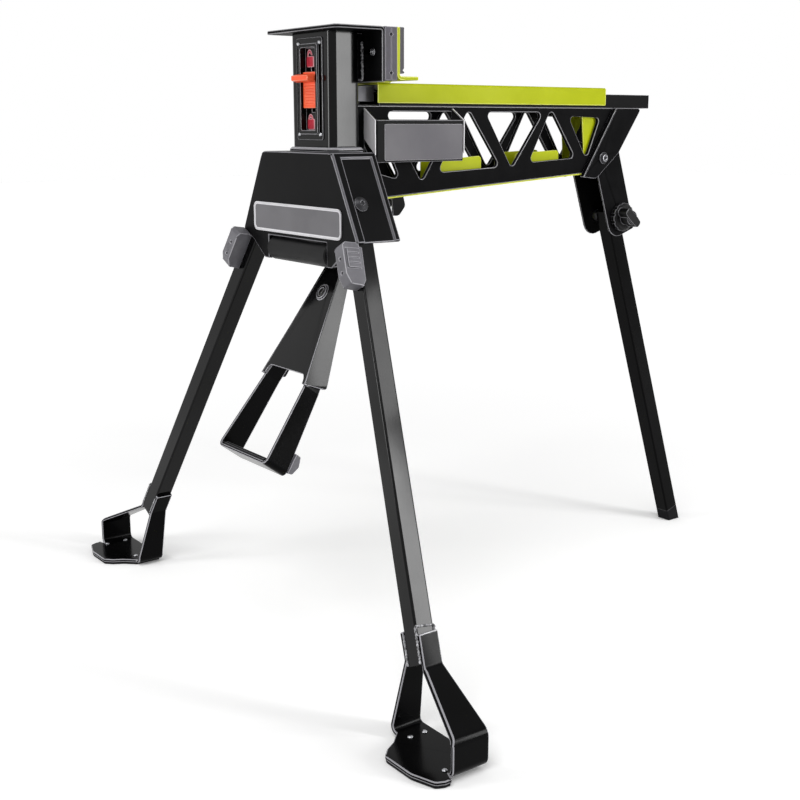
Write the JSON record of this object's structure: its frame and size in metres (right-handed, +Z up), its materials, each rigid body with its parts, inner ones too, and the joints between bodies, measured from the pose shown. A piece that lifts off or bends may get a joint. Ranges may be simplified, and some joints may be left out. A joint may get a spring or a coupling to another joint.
{
  "type": "portable clamping work stand",
  "caption": "Folding tripod work stand with a foot-operated clamping jaw that slides on a long rail over a truss beam.",
  "frame": {"origin": "middle of the ground rectangle that the three feet stand on, at ground level", "axes": "+X across the stand towards the side with the knob, +Y away from the user along the rail, +Z up"},
  "size_m": [1, 0.9912, 0.87],
  "materials": {
    "black": "satin powder coat",
    "black_gloss": "gloss powder coat",
    "green": "gloss paint",
    "steel": "zinc plated",
    "pad": "moulded urethane",
    "plastic_black": "moulded",
    "plastic_grey": "moulded",
    "plastic_light": "moulded",
    "orange": "moulded",
    "rubber": "moulded",
    "plate": "satin, bare"
  },
  "bodies": {
    "stand": {"top_plate": "black", "fixed_pad": "pad", "fixed_pad_screws": "steel", "tower": "black_gloss", "jaw_gussets": "black", "collar": "black_gloss", "switch_plate": "black", "switch_rivets": "steel", "head_top": "black", "head_front": "black", "head_side_left": "black_gloss", "head_side_right": "black_gloss", "name_plate": "plate", "leg_bolt_left": "steel", "leg_bolt_right": "steel", "roller_axle": "steel", "side_plate_left": "black", "side_plate_right": "black", "inner_channel": "green", "top_rail": "black", "guide_block": "steel", "beam_spacers": "black", "label_box": "black", "label_box_ends": "plastic_light", "label_panel": "plate", "rear_gusset_left": "black", "rear_gusset_right": "black", "rear_channel": "black", "rear_bolts": "steel", "leg_catch": "black", "pedal_bracket": "black", "pedal_bolt": "steel", "leg_latch_left": "plastic_grey", "leg_latch_right": "plastic_grey", "rear_pivot_bolt": "steel"},
    "slider": {"slide_rail": "green", "rail_glides": "plastic_light", "moving_jaw": "green", "moving_pad": "pad", "rear_pad": "pad", "moving_jaw_screws": "steel"},
    "right_leg": {"front_leg_right": "black_gloss", "foot_stirrup_right": "black_gloss", "foot_sole_right": "rubber", "foot_rivets_right": "steel"},
    "left_leg": {"front_leg_left": "black_gloss", "foot_stirrup_left": "black_gloss", "foot_sole_left": "rubber", "foot_rivets_left": "steel"},
    "back_leg": {"rear_leg": "black", "rear_leg_cap": "rubber"},
    "knob": {"clamp_knob": "plastic_grey"},
    "pedal": {"pedal_arm": "black", "pedal_stirrup": "black", "pedal_tread": "rubber", "pedal_bumper": "plastic_grey"},
    "roller_body": {"roller": "plastic_black"},
    "switch": {"lock_switch": "orange"},
    "right_button": {"latch_button_right": "plastic_grey"},
    "left_button": {"latch_button_left": "plastic_grey"}
  },
  "joints": [
    {"name": "jaw_slide", "type": "slide", "parent": "stand", "child": "slider", "axis": [0, 1, 0], "range_m": [0, 0.46]},
    {"name": "right_leg_fold", "type": "hinge", "parent": "stand", "child": "right_leg", "pos_m": [0.10755, -0.32314, 0.62751], "axis": [0.8901, 0, 0.4558], "range_deg": [0, 98.5]},
    {"name": "left_leg_fold", "type": "hinge", "parent": "stand", "child": "left_leg", "pos_m": [-0.10755, -0.32314, 0.62751], "axis": [0.8901, 0, -0.4558], "range_deg": [0, 98.5]},
    {"name": "rear_leg_fold", "type": "hinge", "parent": "stand", "child": "back_leg", "pos_m": [0, 0.28136, 0.586], "axis": [-1, 0, 0], "range_deg": [0, 86]},
    {"name": "knob_turn", "type": "hinge", "parent": "stand", "child": "knob", "pos_m": [0.04, 0.28136, 0.586], "axis": [1, 0, 0], "range_deg": [0, 360]},
    {"name": "pedal_press", "type": "hinge", "parent": "stand", "child": "pedal", "pos_m": [0, -0.26714, 0.5505], "axis": [1, 0, 0], "range_deg": [0, 24], "stiffness_Nm_per_rad": 6, "springref_deg": -34.38},
    {"name": "roller_spin", "type": "hinge", "parent": "stand", "child": "roller_body", "pos_m": [0, -0.33564, 0.5635], "axis": [1, 0, 0], "continuous": true},
    {"name": "lock_slide", "type": "slide", "parent": "stand", "child": "switch", "axis": [0, 0, 1], "range_m": [-0.024, 0.024]},
    {"name": "right_button_press", "type": "slide", "parent": "stand", "child": "right_button", "axis": [-0.8901, 0, -0.4558], "range_m": [0, 0.0022], "stiffness_N_per_m": 1500, "springref_m": -0.002},
    {"name": "left_button_press", "type": "slide", "parent": "stand", "child": "left_button", "axis": [0.8901, 0, -0.4558], "range_m": [0, 0.0022], "stiffness_N_per_m": 1500, "springref_m": -0.002}
  ]
}
